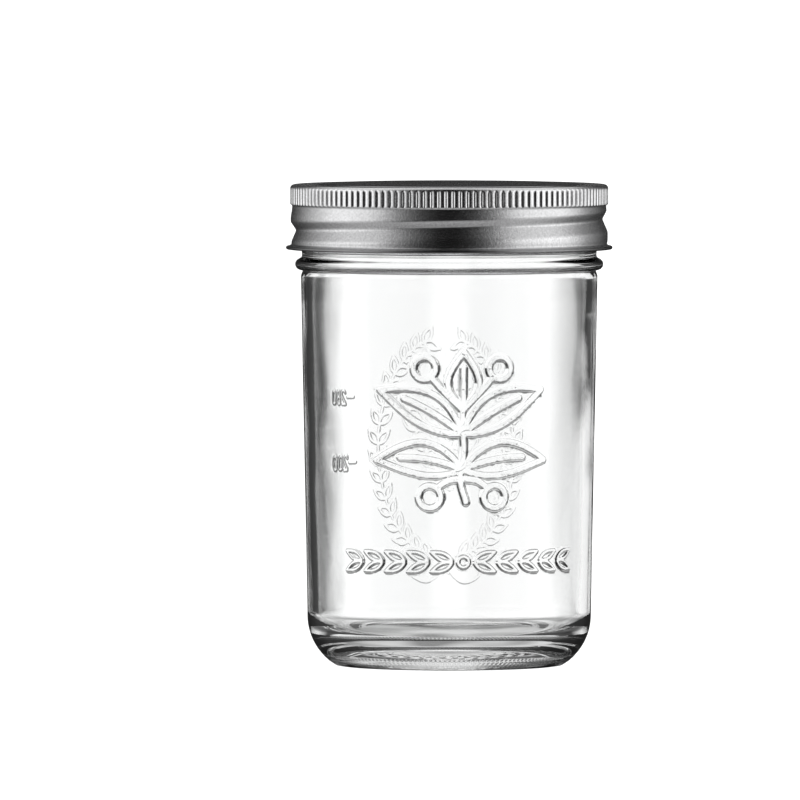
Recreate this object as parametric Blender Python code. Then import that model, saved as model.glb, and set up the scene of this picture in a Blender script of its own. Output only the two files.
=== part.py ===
"""Wide-mouth mason jar, one pint: glass jar, flat lid with its sealing gasket, and screw band.

Metres, +Z up. The jar stands on z = 0 with its axis on the Z axis; -Y is the front.
The band's groove and the ridge on the glass are right-handed helices of the same pitch,
so the band rises by one pitch for each turn anticlockwise (seen from above).
"""

import math

import bmesh
import bpy
from mathutils import Vector

MM = 0.001
TINY = 1e-7

# Closure: the 86 mm wide-mouth size
BAND_OUTER_R = 44.3 * MM        # crest of the grip ribs
BAND_TOP_Z = 134.0 * MM
BAND_SHEET = 0.3 * MM
BAND_OPENING_R = 37.8 * MM      # the hole that shows the lid
BAND_LIP_R = 45.5 * MM          # rolled bottom edge
BAND_LIP_Z = 115.9 * MM
RIB_COUNT = 140
RIB_DEPTH = 0.55 * MM
RIB_TOP_Z = 132.6 * MM
RIB_BOTTOM_Z = 128.6 * MM
BAND_CORNER = 1.1 * MM          # roll of the sheet from flange to ribs
BAND_CORNER_CUT = 0.35 * MM
BAND_WALL_R = 44.15 * MM        # smooth skirt below the ribs
BAND_STEP = 0.5 * MM            # from the ribs' lower end to the skirt
LIP_HEIGHT = 1.1 * MM
LIP_ROUND = 0.5 * MM

# The screw thread, shared by the band and the glass
PITCH = 6.35 * MM
GROOVE_Z_AT_ZERO = 118.05 * MM  # height of the band's groove where its helix crosses +X
GROOVE_DEPTH = 1.45 * MM
GROOVE_RISE_ABOVE = 2.5 * MM    # height of the steep flank above the groove's bottom
GROOVE_RISE_BELOW = 3.8 * MM    # height of the long flank below it
GROOVE_FROM = math.radians(15)
GROOVE_TO = math.radians(435)
GROOVE_FADE = math.radians(35)
RIDGE_ABOVE_GROOVE = 2.15 * MM  # the glass ridge sits on top of the band's inner ridge
RIDGE_CREST_R = 42.9 * MM
RIDGE_ROOT_R = 40.6 * MM
RIDGE_CREST_HALF = 0.45 * MM
RIDGE_ROOT_HALF = 1.7 * MM
RIDGE_SUNK = 0.3 * MM           # the ridge's root reaches this far into the glass
RIDGE_TO = math.radians(450)    # it starts at 0
RIDGE_FADE = 0.08               # share of its length over which each end dies away

# Lid and gasket
GAP = 0.3 * MM                  # kept between pieces that touch
LID_TOP_Z = 134.3 * MM          # raised centre panel
LID_SHEET = 0.3 * MM
LID_PANEL_R = 36.6 * MM
LID_R = 42.9 * MM
LID_BEVEL = 0.5 * MM            # round of the panel's edge and of the rim's
LID_BUTTON_R = 14.0 * MM
LID_BUTTON_FLAT_R = 8.4 * MM
LID_BUTTON_DROP = 0.2 * MM
LID_CURL = 0.5 * MM
GASKET_INNER_R = 38.5 * MM
GASKET_OUTER_R = 41.7 * MM
GASKET_THICK = 0.9 * MM
GASKET_CHAMFER = 0.3 * MM

# Glass
FINISH_R = 41.3 * MM            # straight wall that carries the ridge
NECK_R = 41.0 * MM              # between the ridge and the bead
MOUTH_R = 38.0 * MM
BEAD_R = 42.9 * MM
BEAD_Z = 111.8 * MM
BEAD_HALF = 1.6 * MM
SHOULDER_R = 41.3 * MM
SHOULDER_Z = 109.2 * MM
WAIST_R = 39.5 * MM
HEEL_ARC_R = 16.0 * MM
HEEL_ARC_Z = 14.0 * MM
BEARING_INNER_R = 28.5 * MM     # flat ring that the jar stands on
PUSH_UP_R = 24.0 * MM
PUSH_UP_Z = 3.4 * MM
PUSH_UP_FALL = 1.2 * MM         # the underside is lower at the edge of the push-up than in its middle
FLOOR_Z = 7.6 * MM
FLOOR_CROWN = 0.4 * MM
WALL = 3.0 * MM
BARREL = 0.15                   # how far the body's wall bows from a straight cone
NECK_RISE = 0.8 * MM            # from the bead to the narrowest place of the neck
FINISH_RISE = 3.0 * MM          # from the bead to the straight wall above it
LIP_OUTER = 1.2 * MM            # rounds of the glass lip
LIP_INNER = 0.9 * MM
INNER_HEEL_ARC_R = 7.5 * MM

# Facets
BODY_RINGS = 4
HEEL_STEPS = 6
BEAD_STEPS = 5
INNER_HEEL_STEPS = 4
JAR_SEGMENTS = 64
LID_SEGMENTS = 64
GASKET_SEGMENTS = 48
BAND_SEGMENTS = 56              # RIB_COUNT * 2 is five times this
THREAD_ROWS = 9
RIDGE_STEPS = 76

# Heights that stack up under the band's flange
LID_RIM_TOP_Z = BAND_TOP_Z - BAND_SHEET - GAP
GASKET_TOP_Z = LID_RIM_TOP_Z - LID_SHEET - GAP
GLASS_TOP_Z = GASKET_TOP_Z - GASKET_THICK - GAP


def clear_scene():
    for obj in list(bpy.data.objects):
        bpy.data.objects.remove(obj, do_unlink=True)


def make_material(name, colour, metallic, roughness, transmission=0.0):
    material = bpy.data.materials.new(name)
    material.use_nodes = True
    shader = material.node_tree.nodes["Principled BSDF"]
    shader.inputs["Base Color"].default_value = (*colour, 1.0)
    shader.inputs["Metallic"].default_value = metallic
    shader.inputs["Roughness"].default_value = roughness
    shader.inputs["Transmission Weight"].default_value = transmission
    return material


def arc(centre_r, centre_z, radius, start_deg, end_deg, steps):
    """Points (r, z) on a circle; 0 degrees points away from the jar's axis, 90 up."""
    points = []
    for i in range(steps + 1):
        angle = math.radians(start_deg + (end_deg - start_deg) * i / steps)
        points.append((centre_r + radius * math.cos(angle), centre_z + radius * math.sin(angle)))
    return points


def smooth_step(value):
    value = min(max(value, 0.0), 1.0)
    return value * value * (3.0 - 2.0 * value)


def add_object(name, bm, material, sharp_deg=30.0):
    bmesh.ops.recalc_face_normals(bm, faces=bm.faces)
    mesh = bpy.data.meshes.new(name)
    bm.to_mesh(mesh)
    bm.free()
    mesh.shade_smooth()
    mesh.set_sharp_from_angle(angle=math.radians(sharp_deg))
    mesh.materials.append(material)
    obj = bpy.data.objects.new(name, mesh)
    bpy.context.collection.objects.link(obj)
    return obj


def turned(profile, segments, closed):
    """Spin an outline of (r, z) points about the Z axis. An open outline ends on the axis."""
    bm = bmesh.new()
    verts = [bm.verts.new((r, 0.0, z)) for r, z in profile]
    edges = [bm.edges.new(pair) for pair in zip(verts, verts[1:])]
    if closed:
        edges.append(bm.edges.new((verts[-1], verts[0])))
    bmesh.ops.spin(
        bm,
        geom=verts + edges,
        cent=(0.0, 0.0, 0.0),
        axis=(0.0, 0.0, 1.0),
        angle=2.0 * math.pi,
        steps=segments,
        use_merge=True,
    )
    bmesh.ops.remove_doubles(bm, verts=bm.verts, dist=1e-6)
    return bm


def groove_height(angle):
    return GROOVE_Z_AT_ZERO + PITCH * angle / (2.0 * math.pi)


def groove_depth(angle, z):
    """How far the band's skirt is pressed in at this angle (0 to 2 pi) and height."""
    depth = 0.0
    for turn in (0, 1):
        unwound = angle + 2.0 * math.pi * turn
        fade = smooth_step((unwound - GROOVE_FROM) / GROOVE_FADE)
        fade *= smooth_step((GROOVE_TO - unwound) / GROOVE_FADE)
        above = z - groove_height(unwound)
        rise = GROOVE_RISE_ABOVE if above > 0.0 else GROOVE_RISE_BELOW
        depth = max(depth, fade * GROOVE_DEPTH * max(0.0, 1.0 - abs(above) / rise))
    return depth


def skirt_radius(angle, z):
    return BAND_WALL_R - groove_depth(angle, z)


# ---------------------------------------------------------------- screw band


def band_section(angle):
    """Closed outline of the band's sheet at one angle, from the opening outwards and down."""
    under = BAND_TOP_Z - BAND_SHEET
    skirt_top = RIB_BOTTOM_Z - BAND_STEP
    skirt_bottom = BAND_LIP_Z + LIP_HEIGHT + BAND_STEP
    heights = [
        skirt_top + (skirt_bottom - skirt_top) * i / (THREAD_ROWS - 1) for i in range(THREAD_ROWS)
    ]
    rib_inner_r = BAND_OUTER_R - RIB_DEPTH - BAND_SHEET
    outer = [
        (BAND_OPENING_R, BAND_TOP_Z),
        (BAND_OUTER_R - BAND_CORNER, BAND_TOP_Z),
        (BAND_OUTER_R - BAND_CORNER_CUT, BAND_TOP_Z - BAND_CORNER + BAND_CORNER_CUT),
        (BAND_OUTER_R, RIB_TOP_Z),
        (BAND_OUTER_R, RIB_BOTTOM_Z),
    ]
    outer += [(skirt_radius(angle, z), z) for z in heights]
    lip = [
        (BAND_LIP_R - LIP_ROUND, BAND_LIP_Z + LIP_HEIGHT),
        (BAND_LIP_R, BAND_LIP_Z + LIP_ROUND),
        (BAND_LIP_R - LIP_ROUND, BAND_LIP_Z),
        (BAND_WALL_R, BAND_LIP_Z + BAND_SHEET),
    ]
    inner = [(skirt_radius(angle, z) - BAND_SHEET, z) for z in reversed(heights)]
    top = [
        (rib_inner_r, RIB_BOTTOM_Z),
        (rib_inner_r, under - BAND_STEP),
        (rib_inner_r - BAND_STEP, under),
        (BAND_OPENING_R, under),
    ]
    return outer + lip + inner + top


def on_rib_ring(vert, height):
    return abs(vert.co.z - height) < TINY and vert.co.xy.length > BAND_OUTER_R - BAND_SHEET


def press_ribs(bm):
    """Split the two rib rings into two points for each rib and press in every other one."""
    cuts = RIB_COUNT * 2 // BAND_SEGMENTS - 1
    for height in (RIB_TOP_Z, RIB_BOTTOM_Z):
        ring = [edge for edge in bm.edges if all(on_rib_ring(vert, height) for vert in edge.verts)]
        bmesh.ops.subdivide_edges(bm, edges=ring, cuts=cuts)
    for vert in bm.verts:
        if not (on_rib_ring(vert, RIB_TOP_Z) or on_rib_ring(vert, RIB_BOTTOM_Z)):
            continue
        angle = math.atan2(vert.co.y, vert.co.x)
        # chord points are not evenly spaced in angle, so each goes to its nearest half rib
        index = round(angle / math.pi * RIB_COUNT)
        angle = index * math.pi / RIB_COUNT
        radius = BAND_OUTER_R - (RIB_DEPTH if index % 2 else 0.0)
        vert.co = Vector((radius * math.cos(angle), radius * math.sin(angle), vert.co.z))


def make_screw_band(material):
    bm = bmesh.new()
    rings = []
    for i in range(BAND_SEGMENTS):
        angle = 2.0 * math.pi * i / BAND_SEGMENTS
        section = band_section(angle)
        rings.append([bm.verts.new((r * math.cos(angle), r * math.sin(angle), z)) for r, z in section])
    for ring, following in zip(rings, rings[1:] + rings[:1]):
        for j in range(len(ring)):
            k = (j + 1) % len(ring)
            bm.faces.new((ring[j], following[j], following[k], ring[k]))
    press_ribs(bm)
    bmesh.ops.triangulate(bm, faces=bm.faces)
    return add_object("screw_band", bm, material)


# ---------------------------------------------------------------- lid and gasket


def make_lid_disc(material):
    """Pressed sheet: centre button, raised panel, seat for the gasket and a curled edge."""
    top = LID_TOP_Z
    rim = LID_RIM_TOP_Z
    upper = [
        (0.0, top - LID_BUTTON_DROP),
        (LID_BUTTON_FLAT_R, top - LID_BUTTON_DROP),
        (LID_BUTTON_R, top),
        (LID_PANEL_R - LID_BEVEL, top),
        (LID_PANEL_R, top - 0.5 * LID_BEVEL),
        (LID_PANEL_R + LID_BEVEL, rim),
        (LID_R - LID_SHEET, rim),
        (LID_R, rim - 0.5 * LID_BEVEL),
        (LID_R, rim - LID_SHEET - LID_CURL),
    ]
    lower = [
        (LID_R - LID_SHEET, rim - LID_SHEET - LID_CURL),
        (LID_R - LID_BEVEL, rim - LID_SHEET),
        (LID_PANEL_R, rim - LID_SHEET),
        (LID_PANEL_R - LID_BEVEL, top - LID_SHEET),
        (LID_BUTTON_R, top - LID_SHEET),
        (LID_BUTTON_FLAT_R, top - LID_SHEET - LID_BUTTON_DROP),
        (0.0, top - LID_SHEET - LID_BUTTON_DROP),
    ]
    return add_object("lid_disc", turned(upper + lower, LID_SEGMENTS, closed=False), material)


def make_sealing_gasket(material):
    """Ring of sealing compound under the lid's rim, over the glass lip."""
    top = GASKET_TOP_Z
    bottom = top - GASKET_THICK
    section = [
        (GASKET_INNER_R, top),
        (GASKET_OUTER_R, top),
        (GASKET_OUTER_R, bottom + GASKET_CHAMFER),
        (GASKET_OUTER_R - GASKET_CHAMFER, bottom),
        (GASKET_INNER_R + GASKET_CHAMFER, bottom),
        (GASKET_INNER_R, bottom + GASKET_CHAMFER),
    ]
    return add_object("sealing_gasket", turned(section, GASKET_SEGMENTS, closed=True), material)


# ---------------------------------------------------------------- glass jar


def wall_radius(z):
    """Outside of the body: a cone from the heel to the shoulder that bows out a little."""
    part = (z - HEEL_ARC_Z) / (SHOULDER_Z - HEEL_ARC_Z)
    return WAIST_R + (SHOULDER_R - WAIST_R) * ((1.0 - BARREL) * part + BARREL * smooth_step(part))


def jar_outline():
    """From the middle of the underside, up the outside, over the lip and down the inside."""
    heel_end_deg = -math.degrees(math.asin(HEEL_ARC_Z / HEEL_ARC_R))
    heel = arc(WAIST_R - HEEL_ARC_R, HEEL_ARC_Z, HEEL_ARC_R, heel_end_deg, 0.0, HEEL_STEPS)
    body_step = (SHOULDER_Z - HEEL_ARC_Z) / BODY_RINGS
    body_heights = [HEEL_ARC_Z + body_step * (i + 1) for i in range(BODY_RINGS)]
    bead = arc(BEAD_R - BEAD_HALF, BEAD_Z, BEAD_HALF, -75.0, 75.0, BEAD_STEPS)
    bead_top = BEAD_Z + BEAD_HALF
    outside = [
        (0.0, PUSH_UP_Z),
        (PUSH_UP_R, PUSH_UP_Z - PUSH_UP_FALL),
        (BEARING_INNER_R, 0.0),
    ]
    outside += heel
    outside += [(wall_radius(z), z) for z in body_heights]
    outside += bead
    outside += [
        (NECK_R, bead_top + NECK_RISE),
        (FINISH_R, bead_top + FINISH_RISE),
        (FINISH_R, GLASS_TOP_Z - LIP_OUTER),
    ]
    lip = [
        (FINISH_R - LIP_OUTER / 3.0, GLASS_TOP_Z - LIP_OUTER / 3.0),
        (FINISH_R - LIP_OUTER, GLASS_TOP_Z),
        (MOUTH_R + LIP_INNER, GLASS_TOP_Z),
        (MOUTH_R + LIP_INNER / 3.0, GLASS_TOP_Z - LIP_INNER / 3.0),
        (MOUTH_R, GLASS_TOP_Z - LIP_INNER),
    ]
    inner_wall_r = WAIST_R - WALL
    inside = [(MOUTH_R, bead_top)]
    inside += [(wall_radius(z) - WALL, z) for z in reversed(body_heights[:-1])]
    inside += arc(
        inner_wall_r - INNER_HEEL_ARC_R,
        FLOOR_Z + INNER_HEEL_ARC_R,
        INNER_HEEL_ARC_R,
        0.0,
        -90.0,
        INNER_HEEL_STEPS,
    )
    inside.append((0.0, FLOOR_Z + FLOOR_CROWN))
    return outside + lip + inside


def make_thread_ridge():
    """Helical ridge whose two ends sink into the glass. Joined to the jar by a Boolean."""
    bm = bmesh.new()
    sections = []
    for i in range(RIDGE_STEPS + 1):
        part = i / RIDGE_STEPS
        angle = RIDGE_TO * part
        height = groove_height(angle) + RIDGE_ABOVE_GROOVE
        fade = smooth_step(min(part, 1.0 - part) / RIDGE_FADE)
        low = RIDGE_ROOT_R + RIDGE_SUNK
        crest = low + (RIDGE_CREST_R - low) * fade
        outline = [
            (RIDGE_ROOT_R, height - RIDGE_ROOT_HALF),
            (crest, height - RIDGE_CREST_HALF),
            (crest, height + RIDGE_CREST_HALF),
            (RIDGE_ROOT_R, height + RIDGE_ROOT_HALF),
        ]
        sections.append([bm.verts.new((r * math.cos(angle), r * math.sin(angle), z)) for r, z in outline])
    for section, following in zip(sections, sections[1:]):
        for j in range(4):
            k = (j + 1) % 4
            bm.faces.new((section[j], following[j], following[k], section[k]))
    bm.faces.new(sections[0])
    bm.faces.new(sections[-1])
    return bm


def make_glass_jar(material):
    jar = add_object("glass_jar", turned(jar_outline(), JAR_SEGMENTS, closed=False), material)
    ridge = add_object("thread_ridge_guide", make_thread_ridge(), material)
    ridge.hide_render = True
    ridge.display_type = "WIRE"
    join = jar.modifiers.new("thread_ridge", "BOOLEAN")
    join.operation = "UNION"
    join.solver = "EXACT"
    join.object = ridge
    return jar


def build():
    clear_scene()
    glass = make_material("clear_glass", (0.96, 0.98, 0.98), 0.0, 0.02, transmission=1.0)
    tinplate = make_material("satin_tinplate", (0.72, 0.72, 0.73), 1.0, 0.35)
    lid_steel = make_material("lid_tinplate", (0.60, 0.60, 0.62), 1.0, 0.30)
    compound = make_material("sealing_compound", (0.42, 0.40, 0.38), 0.0, 0.60)
    make_glass_jar(glass)
    make_lid_disc(lid_steel)
    make_sealing_gasket(compound)
    make_screw_band(tinplate)


build()
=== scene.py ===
"""Looks for the mason jar: fine glass with raised ornament, pressed tinplate lid and band, studio light.

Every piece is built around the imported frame, in its metres. The jar's axis is the Z axis and
-Y is the front. Angles are measured anticlockwise from +X, seen from above.
"""

import math

import bmesh
import bpy
import numpy as np
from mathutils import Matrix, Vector


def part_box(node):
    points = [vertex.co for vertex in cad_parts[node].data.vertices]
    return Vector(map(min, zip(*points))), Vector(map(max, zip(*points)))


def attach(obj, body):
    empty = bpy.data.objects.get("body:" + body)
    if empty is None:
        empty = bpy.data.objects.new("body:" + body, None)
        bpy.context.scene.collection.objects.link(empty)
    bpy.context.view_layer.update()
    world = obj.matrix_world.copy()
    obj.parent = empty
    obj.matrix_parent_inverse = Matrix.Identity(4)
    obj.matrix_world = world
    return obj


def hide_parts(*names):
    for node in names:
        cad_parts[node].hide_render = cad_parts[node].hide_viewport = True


MM = 0.001
TURN = 2.0 * math.pi
FRONT = -0.5 * math.pi

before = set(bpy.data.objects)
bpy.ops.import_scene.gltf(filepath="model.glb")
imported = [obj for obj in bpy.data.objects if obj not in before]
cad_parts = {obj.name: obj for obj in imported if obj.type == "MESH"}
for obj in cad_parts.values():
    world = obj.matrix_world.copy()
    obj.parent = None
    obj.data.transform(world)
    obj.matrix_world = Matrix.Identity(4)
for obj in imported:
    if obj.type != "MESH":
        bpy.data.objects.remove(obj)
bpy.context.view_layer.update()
jar_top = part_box("glass_jar")[1].z
band_low, band_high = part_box("screw_band")
lid_low, lid_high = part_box("lid_disc")
gasket_low, gasket_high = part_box("sealing_gasket")


# ---------------------------------------------------------------- small tools


def smooth_step(value):
    value = np.clip(value, 0.0, 1.0)
    return value * value * (3.0 - 2.0 * value)


def smooth_curve(points, per_span=8):
    """Catmull-Rom curve through given points, as an (n, 2) array."""
    points = np.array(points, float)
    padded = np.vstack([2 * points[0] - points[1], points, 2 * points[-1] - points[-2]])
    out = []
    for a, b, c, d in zip(padded, padded[1:], padded[2:], padded[3:]):
        t = np.linspace(0.0, 1.0, per_span, endpoint=False)[:, None]
        out.append(0.5 * (2 * b + (c - a) * t + (2 * a - 5 * b + 4 * c - d) * t**2
                          + (3 * b - a - 3 * c + d) * t**3))
    return np.vstack(out + [points[-1:]])


def arc_points(centre, radius, start_deg, end_deg, steps):
    angles = np.radians(np.linspace(start_deg, end_deg, steps + 1))
    return [(centre[0] + radius * math.cos(a), centre[1] + radius * math.sin(a)) for a in angles]


def along(points, spacing):
    """The same outline with no span longer than the spacing."""
    out = [points[0]]
    for a, b in zip(points, points[1:]):
        count = max(1, math.ceil(math.dist(a, b) / spacing))
        for i in range(1, count + 1):
            out.append((a[0] + (b[0] - a[0]) * i / count, a[1] + (b[1] - a[1]) * i / count))
    return out


def grid_mesh(name, points, close_rows, poles=(False, False)):
    """Mesh from an array (rows, columns, 3) that closes around its columns.

    close_rows joins the last row to the first; a pole shrinks the first or last row to a point.
    """
    rows, columns, _ = points.shape
    vertices = points.reshape(-1, 3)
    index = np.arange(rows * columns).reshape(rows, columns)
    if close_rows:
        index = np.vstack([index, index[:1]])
    right = np.roll(index, -1, axis=1)
    quads = np.stack([index[:-1], right[:-1], right[1:], index[1:]], axis=-1).reshape(-1, 4)
    faces = quads.tolist()
    vertices = vertices.tolist()
    for is_pole, row, flip in ((poles[0], index[0], True), (poles[1], index[-1], False)):
        if not is_pole:
            continue
        pole = len(vertices)
        vertices.append(np.mean(points.reshape(-1, 3)[row], axis=0).tolist())
        for i in range(columns):
            j = (i + 1) % columns
            faces.append((row[j], row[i], pole) if flip else (row[i], row[j], pole))
    mesh = bpy.data.meshes.new(name)
    mesh.from_pydata(vertices, [], faces)
    mesh.update()
    return mesh


def turned_mesh(name, profile, columns, closed):
    """Profile of (r, z) turned about the Z axis. An open one has both its ends near the axis."""
    profile = np.array(profile)
    angle = np.arange(columns) * TURN / columns
    r, z = profile[:, :1], profile[:, 1:]
    points = np.stack([r * np.cos(angle), r * np.sin(angle), z + 0.0 * angle], axis=-1)
    return grid_mesh(name, points, closed, (not closed, not closed))


def outward(mesh):
    bm = bmesh.new()
    bm.from_mesh(mesh)
    bmesh.ops.recalc_face_normals(bm, faces=bm.faces)
    bm.to_mesh(mesh)
    bm.free()


def add_piece(name, mesh, material, body, node, sharp_deg=None):
    outward(mesh)
    mesh.shade_smooth()
    if sharp_deg is not None:
        mesh.set_sharp_from_angle(angle=math.radians(sharp_deg))
    mesh.materials.append(material)
    obj = bpy.data.objects.new(name, mesh)
    bpy.context.scene.collection.objects.link(obj)
    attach(obj, body)
    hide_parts(node)
    return obj


# ---------------------------------------------------------------- screw thread

PITCH = 6.35 * MM
GROOVE_Z_AT_ZERO = 118.05 * MM
GROOVE_DEPTH = 1.45 * MM
GROOVE_RISE_ABOVE = 2.4 * MM
GROOVE_RISE_BELOW = 3.8 * MM
GROOVE_FROM = math.radians(15)
GROOVE_TO = math.radians(435)
GROOVE_FADE = math.radians(35)
GROOVE_BOTTOM_ROUND = 0.22 * MM
RIDGE_ABOVE_GROOVE = 2.15 * MM
RIDGE_TO = math.radians(450)
RIDGE_HEIGHT = 1.55 * MM
RIDGE_HALF = 1.55 * MM      # half of the ridge's width at its foot
RIDGE_SIDE = 1.1 * MM       # width of each of its sides
RIDGE_FADE = 0.5            # angle over which either end of the ridge fades in
GROOVE_FOOT = 0.25          # share of the groove's side that eases out onto the skirt


def groove_height(angle):
    return GROOVE_Z_AT_ZERO + PITCH * angle / TURN


def groove_depth(angle, z):
    """How far the band's skirt is pressed in, for arrays of angle (0 to 2 pi) and height."""
    depth = np.zeros(np.broadcast(angle, z).shape)
    for turn in (0, 1):
        unwound = angle + TURN * turn
        fade = smooth_step((unwound - GROOVE_FROM) / GROOVE_FADE)
        fade = fade * smooth_step((GROOVE_TO - unwound) / GROOVE_FADE)
        above = z - groove_height(unwound)
        rise = np.where(above > 0.0, GROOVE_RISE_ABOVE, GROOVE_RISE_BELOW)
        rounded = np.sqrt(above**2 + GROOVE_BOTTOM_ROUND**2) - GROOVE_BOTTOM_ROUND
        share = np.clip(1.0 - rounded / rise, 0.0, 1.0)
        eased = share**2 / (2.0 * GROOVE_FOOT)
        share = np.where(share < GROOVE_FOOT, eased, share - 0.5 * GROOVE_FOOT)
        depth = np.maximum(depth, fade * GROOVE_DEPTH * share / (1.0 - 0.5 * GROOVE_FOOT))
    return depth


def ridge_height(angle, z):
    """How far the thread ridge stands out of the glass neck."""
    height = np.zeros(np.broadcast(angle, z).shape)
    for turn in (0, 1):
        unwound = angle + TURN * turn
        fade = smooth_step(unwound / RIDGE_FADE) * smooth_step((RIDGE_TO - unwound) / RIDGE_FADE)
        above = z - groove_height(unwound) - RIDGE_ABOVE_GROOVE
        share = smooth_step((RIDGE_HALF - np.abs(above)) / RIDGE_SIDE)
        height = np.maximum(height, fade * RIDGE_HEIGHT * share)
    return height


# ---------------------------------------------------------------- relief on the glass
# Drawn flat in millimetres, u to the right and v up as the viewer sees it.


def distance_to(paths, u, v):
    """Distance in millimetres from each point (u, v) to the nearest of the paths."""
    best = np.full(u.shape, 1e9)
    for path in paths:
        path = np.array(path, float)
        for (ax, ay), (bx, by) in zip(path, path[1:]):
            dx, dy = bx - ax, by - ay
            t = np.clip(((u - ax) * dx + (v - ay) * dy) / max(dx * dx + dy * dy, 1e-12), 0.0, 1.0)
            best = np.minimum(best, np.hypot(u - ax - t * dx, v - ay - t * dy))
    return best


def leaf_outline(base, tip, width, bend=0.0):
    """Pointed leaf's outline from base to tip, widest nearer the base, and the line of its midrib."""
    base, tip = np.array(base, float), np.array(tip, float)
    axis = tip - base
    side = np.array([-axis[1], axis[0]]) / np.linalg.norm(axis)
    t = np.linspace(0.0, 1.0, 15)
    middle = base + np.outer(t, axis) + np.outer(4.0 * bend * t * (1.0 - t), side)
    half = 0.5 * width * np.sin(math.pi * t**0.85)
    outline = np.vstack([middle + half[:, None] * side, (middle - half[:, None] * side)[::-1]])
    return outline, middle


def circle(centre, radius, steps=28):
    return np.array(arc_points(centre, radius, 0.0, 360.0, steps))


def emblem_paths():
    """Front emblem: an upright sprig with five veined leaves and berries on stalks."""
    paths = [smooth_curve([(1.0, -20.5), (-0.6, -14.0), (0.4, -6.0), (0.0, 2.0), (0.2, 8.0)])]
    for side in (-1.0, 1.0):
        for base, tip, width, bend in (
            ((0.0, -11.5), (24.5, -9.0), 9.0, 2.0),
            ((0.2, -1.5), (23.5, 10.5), 9.0, 1.6),
        ):
            outline, middle = leaf_outline(
                (base[0] * side, base[1]), (tip[0] * side, tip[1]), width, bend * side)
            paths += [outline, middle[:11]]
        paths.append(circle((9.0 * side, -19.0), 3.1))
        paths.append(smooth_curve([(0.0, -14.0), (4.0 * side, -14.6), (7.0 * side, -16.6)]))
        paths.append(circle((10.5 * side, 16.6), 3.1))
        paths.append(smooth_curve([(0.1, 5.0), (4.2 * side, 9.2), (8.4 * side, 14.0)]))
    outline, middle = leaf_outline((0.2, 6.0), (0.4, 21.0), 8.6)
    paths += [outline, middle[:11]]
    return paths


def garland_paths():
    """Low border in front, under the emblem: leaves in pairs along a line, with a bead in the middle."""
    paths = []
    for side in (-1.0, 1.0):
        for i in range(5):
            start = side * (3.2 + 6.6 * i)
            for slope in (-1.0, 1.0):
                outline, _ = leaf_outline((start, 0.35 * slope), (start + 5.6 * side, 2.7 * slope), 2.0)
                paths.append(outline)
    paths.append(circle((0.0, 0.0), 1.5, 16))
    return paths


def wreath_paths():
    """Back medallion: an oval wreath of leaves, a bunch of round fruit and a bow below."""
    paths = []
    half_u, half_v = 21.0, 31.0
    for side in (-1.0, 1.0):
        stem = [(side * half_u * math.sin(a), -half_v * math.cos(a))
                for a in np.radians(np.linspace(8, 168, 33))]
        paths.append(stem)
        for i in range(1, 32, 2):
            here = np.array(stem[i])
            ahead = np.array(stem[i + 1]) - here
            ahead /= np.linalg.norm(ahead)
            normal = np.array([-ahead[1], ahead[0]])
            for turn in (-1.0, 1.0):
                tip = here + 3.6 * ahead + 3.2 * turn * normal
                paths.append(leaf_outline(here, tip, 2.2)[0])
        paths.append(smooth_curve([(0.0, -33.0), (5.0 * side, -37.5), (9.5 * side, -36.0),
                                   (11.5 * side, -32.5)]))
    for row, count in enumerate((4, 3, 2, 1)):
        for i in range(count):
            paths.append(circle((6.4 * (i - 0.5 * (count - 1)), 8.0 - 5.6 * row), 3.0, 18))
    for side in (-1.0, 1.0):
        paths.append(leaf_outline((0.0, 11.5), (10.0 * side, 16.5), 5.6)[0])
    paths.append([(0.0, 11.5), (0.6, 18.5)])
    return paths


# Strokes of the numerals in a box one unit wide and two high
DIGITS = {
    "0": [arc_points((0.5, 1.4), 0.5, 0, 180, 8) + arc_points((0.5, 0.6), 0.5, 180, 360, 8)
          + [(1.0, 1.4)]],
    "2": [arc_points((0.5, 1.45), 0.5, 165, -35, 8) + [(0.0, 0.0), (1.0, 0.0)]],
    "8": [circle((0.5, 1.5), 0.45, 14), circle((0.5, 0.52), 0.52, 14)],
}


def scale_paths(heights):
    """Volume marks: a tick and its numerals in millilitres beside it, at each height."""
    paths = []
    for text, v in heights:
        paths.append([(-1.2, v), (1.8, v)])
        for i, digit in enumerate(text):
            for stroke in DIGITS[digit]:
                paths.append([(2.8 + 2.9 * i + 1.9 * x, v - 2.0 + 2.0 * y) for x, y in stroke])
    return paths


# ---------------------------------------------------------------- glass jar

WALL = 3.0 * MM
MOUTH_R = 38.0 * MM
FINISH_R = 41.3 * MM
NECK_R = 41.0 * MM
BEAD_R = 42.9 * MM
BEAD_Z = 111.8 * MM
BEAD_HALF = 1.6 * MM
SHOULDER_R = 41.3 * MM
SHOULDER_Z = 109.2 * MM
WAIST_R = 39.5 * MM
HEEL_ARC_R = 16.0 * MM
HEEL_ARC_Z = 14.0 * MM
FLOOR_Z = 7.6 * MM
PUSH_UP_Z = 3.4 * MM
INNER_HEEL_R = 7.5 * MM
LIP_OUTER = 1.4 * MM
LIP_INNER = 1.3 * MM
FINISH_SPACING = 0.45 * MM  # between rows where the thread is drawn
PARTING_Z = 106.2 * MM
JAR_COLUMNS = 192

BODY_LOW = 14.5 * MM     # between these heights the outside is one smooth turned wall
BODY_HIGH = 108.5 * MM

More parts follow.
